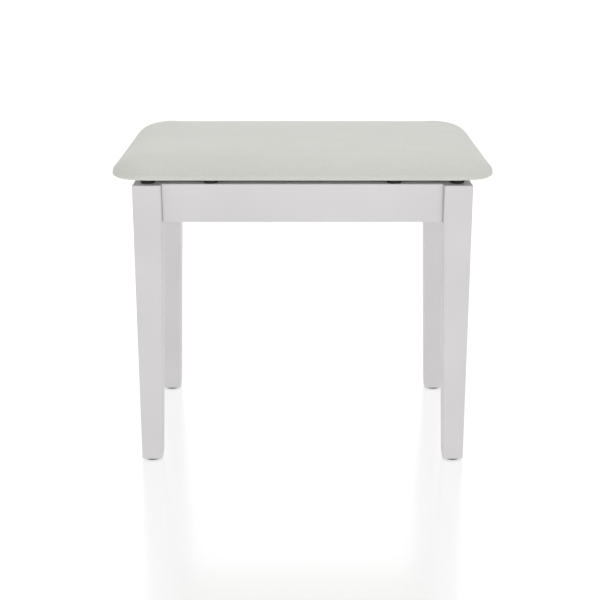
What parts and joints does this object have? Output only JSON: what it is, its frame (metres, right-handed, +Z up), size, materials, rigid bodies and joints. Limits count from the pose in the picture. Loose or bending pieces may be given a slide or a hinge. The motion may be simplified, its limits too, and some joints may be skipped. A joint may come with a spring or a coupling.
{
  "type": "piano bench",
  "caption": "Piano bench: padded leatherette seat lid, hinged at the back over a shallow music compartment with a folding stay, on tapered lacquered legs.",
  "frame": {"origin": "on the floor, at the centre of the bench's plan", "axes": "+X along the long side to the sitter's right, the front faces -Y, +Z up"},
  "size_m": [0.56, 0.376, 0.484],
  "materials": {
    "lacquered_wood": "white satin lacquer on beech",
    "leatherette": "off-white matt leatherette",
    "seat_foam": "cut polyurethane foam",
    "plywood": "bare birch plywood",
    "beech": "bare sanded beech",
    "hardboard": "white painted hardboard",
    "lining": "white non-woven lining cloth",
    "rubber": "black moulded rubber",
    "glide_plastic": "dark grey moulded glide",
    "zinc": "bright zinc plate",
    "nickel": "satin nickel plate"
  },
  "bodies": {
    "frame": {"buffer_leg_left": "rubber", "buffer_leg_right": "rubber", "buffer_rail_left": "rubber", "buffer_rail_right": "rubber", "compartment_floor": "hardboard", "corner_block_back_left": "beech", "corner_block_back_right": "beech", "corner_block_front_left": "beech", "corner_block_front_right": "beech", "flange_nut_back_left": "zinc", "flange_nut_back_right": "zinc", "flange_nut_front_left": "zinc", "flange_nut_front_right": "zinc", "glide_back_left": "glide_plastic", "glide_back_right": "glide_plastic", "glide_front_left": "glide_plastic", "glide_front_right": "glide_plastic", "hanger_bolt_back_left": "zinc", "hanger_bolt_back_right": "zinc", "hanger_bolt_front_left": "zinc", "hanger_bolt_front_right": "zinc", "hinge_leaf_rail_left": "nickel", "hinge_leaf_rail_right": "nickel", "hinge_pin_left": "nickel", "hinge_pin_right": "nickel", "hinge_screw_rail_left_inner": "zinc", "hinge_screw_rail_left_outer": "zinc", "hinge_screw_rail_right_inner": "zinc", "hinge_screw_rail_right_outer": "zinc", "leg_back_left": "lacquered_wood", "leg_back_right": "lacquered_wood", "leg_front_left": "lacquered_wood", "leg_front_right": "lacquered_wood", "rail_back": "lacquered_wood", "rail_front": "lacquered_wood", "rail_left": "lacquered_wood", "rail_right": "lacquered_wood", "stay_bracket_rail": "nickel", "stay_rivet_rail": "nickel", "stay_screw_rail_back": "zinc", "stay_screw_rail_front": "zinc"},
    "lid": {"hinge_leaf_lid_left": "nickel", "hinge_leaf_lid_right": "nickel", "hinge_screw_lid_left_inner": "zinc", "hinge_screw_lid_left_outer": "zinc", "hinge_screw_lid_right_inner": "zinc", "hinge_screw_lid_right_outer": "zinc", "lid_lining": "lining", "seat_board": "plywood", "seat_cover": "leatherette", "seat_foam": "seat_foam", "stay_bracket_lid": "nickel", "stay_rivet_lid": "nickel", "stay_screw_lid_back": "zinc", "stay_screw_lid_front": "zinc"},
    "stay_lower": {"stay_arm_lower": "nickel", "stay_rivet_elbow": "nickel"},
    "stay_upper": {"stay_arm_upper": "nickel"}
  },
  "joints": [
    {"name": "lid_hinge", "type": "hinge", "parent": "frame", "child": "lid", "pos_m": [0, 0.154, 0.4437], "axis": [-1, 0, 0], "range_deg": [0, 80]},
    {"name": "stay_rail_pivot", "type": "hinge", "parent": "frame", "child": "stay_lower", "pos_m": [0.2127, 0.052, 0.402], "axis": [-1, 0, 0], "range_deg": [0, 82]},
    {"name": "stay_lid_pivot", "type": "hinge", "parent": "lid", "child": "stay_upper", "pos_m": [0.2107, 0.05, 0.44], "axis": [1, 0, 0], "range_deg": [0, 91]}
  ],
  "couplings": [
    {"joint": "stay_rail_pivot", "follows": "lid_hinge", "ratio": 1.02},
    {"joint": "stay_lid_pivot", "follows": "lid_hinge", "ratio": 1.128}
  ]
}
